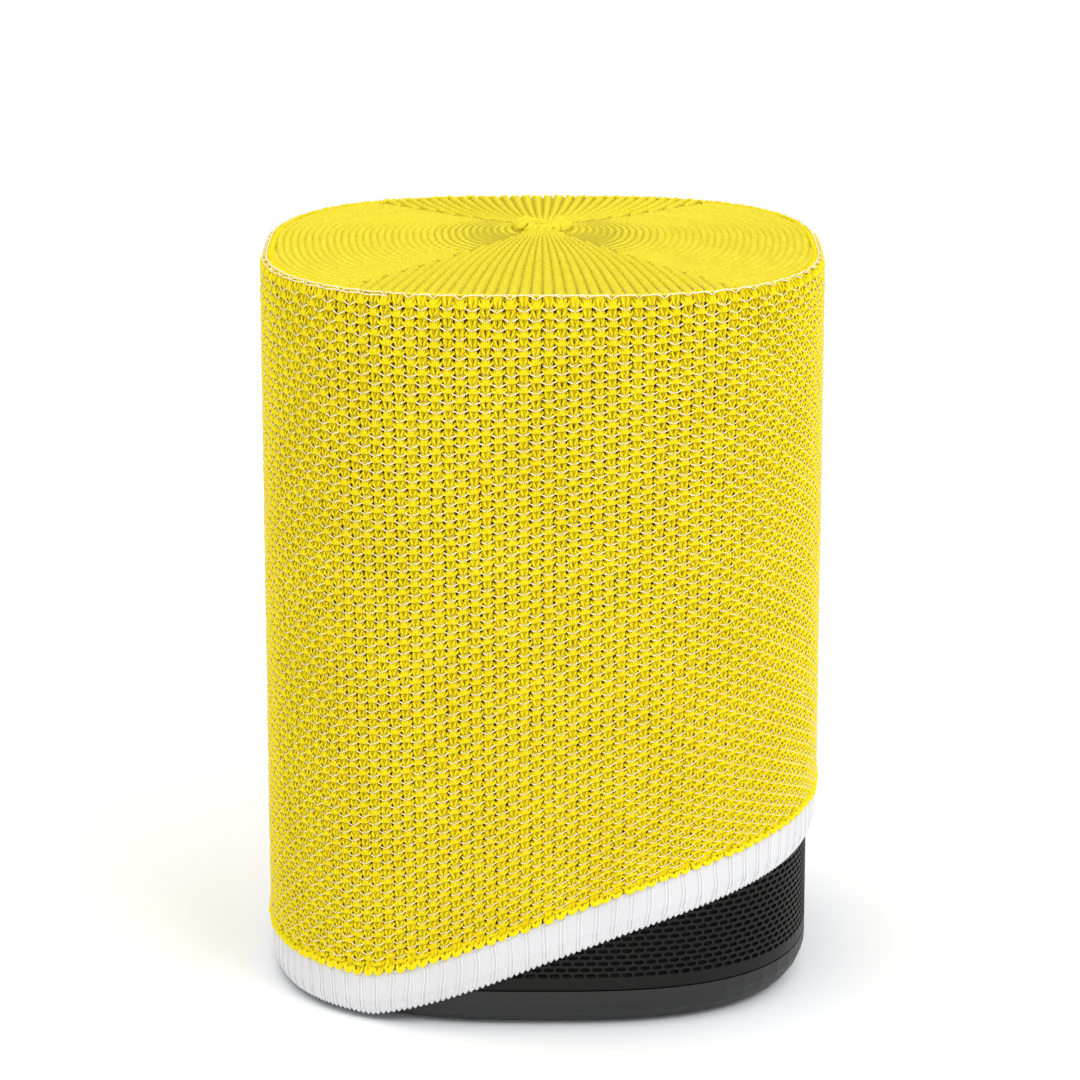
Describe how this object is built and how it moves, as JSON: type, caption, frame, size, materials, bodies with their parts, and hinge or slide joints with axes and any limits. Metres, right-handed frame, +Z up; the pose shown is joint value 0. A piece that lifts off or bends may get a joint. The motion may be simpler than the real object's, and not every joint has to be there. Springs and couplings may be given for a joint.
{
  "type": "smart speaker",
  "caption": "Compact rounded-square smart speaker with a pull-on yellow knitted cover, white ribbed hem, black perforated grille and a base recess for the mains lead",
  "frame": {"origin": "on the resting plane, under the middle of the body", "axes": "+Z up, front towards -Y, right-hand side as seen from the front towards +X"},
  "size_m": [0.125, 0.125, 0.1631],
  "materials": {
    "foot_rubber": "matt, faintly textured",
    "base_plastic": "fine matt moulded",
    "screw_steel": "zinc plated",
    "socket_plastic": "moulded",
    "brass_pin": "bright",
    "circuit_board": "satin solder mask",
    "transformer_coil": "taped winding",
    "capacitor_sleeve": "shrink sleeve",
    "sink_aluminium": "extruded",
    "grille_metal": "satin black powder coat",
    "scrim_cloth": "fine acoustic cloth",
    "button_plastic": "satin moulded",
    "shield_steel": "tin plated",
    "chip_plastic": "matt epoxy",
    "cabinet_plastic": "fine matt moulded",
    "gasket_rubber": "soft matt",
    "wadding": "loose fibre",
    "basket_metal": "satin black",
    "cone_paper": "pressed fibre",
    "copper_coil": "enamelled copper wire",
    "spider_cloth": "treated weave",
    "plated_steel": "zinc plated",
    "ferrite": "ground ferrite",
    "lead_rubber": "flexible insulation",
    "dome_silk": "coated silk",
    "ring_diffuser": "translucent white",
    "ribbon_plastic": "flat flexible",
    "yellow_yarn": "knitted yarn",
    "white_yarn": "ribbed elastic knit"
  },
  "bodies": {
    "speaker": {"foot_pad": "foot_rubber", "base_housing": "base_plastic", "base_screws": "screw_steel", "power_inlet": "socket_plastic", "inlet_pins": "brass_pin", "power_board": "circuit_board", "power_transformer": "transformer_coil", "power_capacitors": "capacitor_sleeve", "power_heat_sink": "sink_aluminium", "grille": "grille_metal", "grille_scrim": "scrim_cloth", "rear_panel": "base_plastic", "ethernet_jack": "shield_steel", "main_board": "circuit_board", "main_chips": "chip_plastic", "shield_can": "shield_steel", "amplifier_heat_sink": "sink_aluminium", "wifi_antenna_left": "circuit_board", "wifi_antenna_right": "circuit_board", "cabinet_shell": "cabinet_plastic", "cabinet_baffle": "cabinet_plastic", "cabinet_gasket": "gasket_rubber", "cabinet_screws": "screw_steel", "damping_wadding": "wadding", "woofer_basket": "basket_metal", "woofer_surround": "gasket_rubber", "woofer_spider": "spider_cloth", "woofer_top_plate": "plated_steel", "woofer_magnet": "ferrite", "woofer_yoke": "plated_steel", "woofer_screws": "screw_steel", "speaker_leads": "lead_rubber", "tweeter_faceplate": "cabinet_plastic", "tweeter_surround": "dome_silk", "tweeter_magnet": "ferrite", "tweeter_screws": "screw_steel", "top_cap": "base_plastic", "top_cap_screws": "screw_steel", "light_ring": "ring_diffuser", "control_board": "circuit_board", "control_switches": "shield_steel", "ring_leds": "ring_diffuser", "microphones": "brass_pin", "ribbon_cable": "ribbon_plastic"},
    "cover": {"cover_side": "yellow_yarn", "cover_top": "yellow_yarn", "cover_hem": "white_yarn"},
    "woofer_diaphragm": {"woofer_cone": "cone_paper", "woofer_dust_cap": "cone_paper", "woofer_voice_coil": "copper_coil"},
    "tweeter_diaphragm": {"tweeter_dome": "dome_silk"},
    "volume_up": {"volume_up_button": "button_plastic"},
    "volume_down": {"volume_down_button": "button_plastic"},
    "play": {"play_button": "button_plastic"},
    "mic_mute": {"mic_mute_button": "button_plastic"},
    "pairing": {"pairing_button": "button_plastic"}
  },
  "joints": [
    {"name": "cover_pull_off", "type": "slide", "parent": "speaker", "child": "cover", "axis": [0, 0, 1], "range_m": [0, 0.17]},
    {"name": "woofer_stroke", "type": "slide", "parent": "speaker", "child": "woofer_diaphragm", "axis": [0, -1, 0], "range_m": [-0.0025, 0.0025], "stiffness_N_per_m": 2500, "deforming": ["woofer_surround", "woofer_spider"]},
    {"name": "tweeter_stroke", "type": "slide", "parent": "speaker", "child": "tweeter_diaphragm", "axis": [0, -1, 0], "range_m": [-0.0003, 0.0003], "stiffness_N_per_m": 4000, "deforming": ["tweeter_surround"]},
    {"name": "volume_up_press", "type": "slide", "parent": "speaker", "child": "volume_up", "axis": [0, 0, -1], "range_m": [0, 0.0006], "stiffness_N_per_m": 1500, "springref_m": -0.0003},
    {"name": "volume_down_press", "type": "slide", "parent": "speaker", "child": "volume_down", "axis": [0, 0, -1], "range_m": [0, 0.0006], "stiffness_N_per_m": 1500, "springref_m": -0.0003},
    {"name": "play_press", "type": "slide", "parent": "speaker", "child": "play", "axis": [0, 0, -1], "range_m": [0, 0.0006], "stiffness_N_per_m": 1500, "springref_m": -0.0003},
    {"name": "mic_mute_press", "type": "slide", "parent": "speaker", "child": "mic_mute", "axis": [0, 0, -1], "range_m": [0, 0.0006], "stiffness_N_per_m": 1500, "springref_m": -0.0003},
    {"name": "pairing_press", "type": "slide", "parent": "speaker", "child": "pairing", "axis": [0, -1, 0], "range_m": [0, 0.0012], "stiffness_N_per_m": 1500, "springref_m": -0.0003}
  ]
}
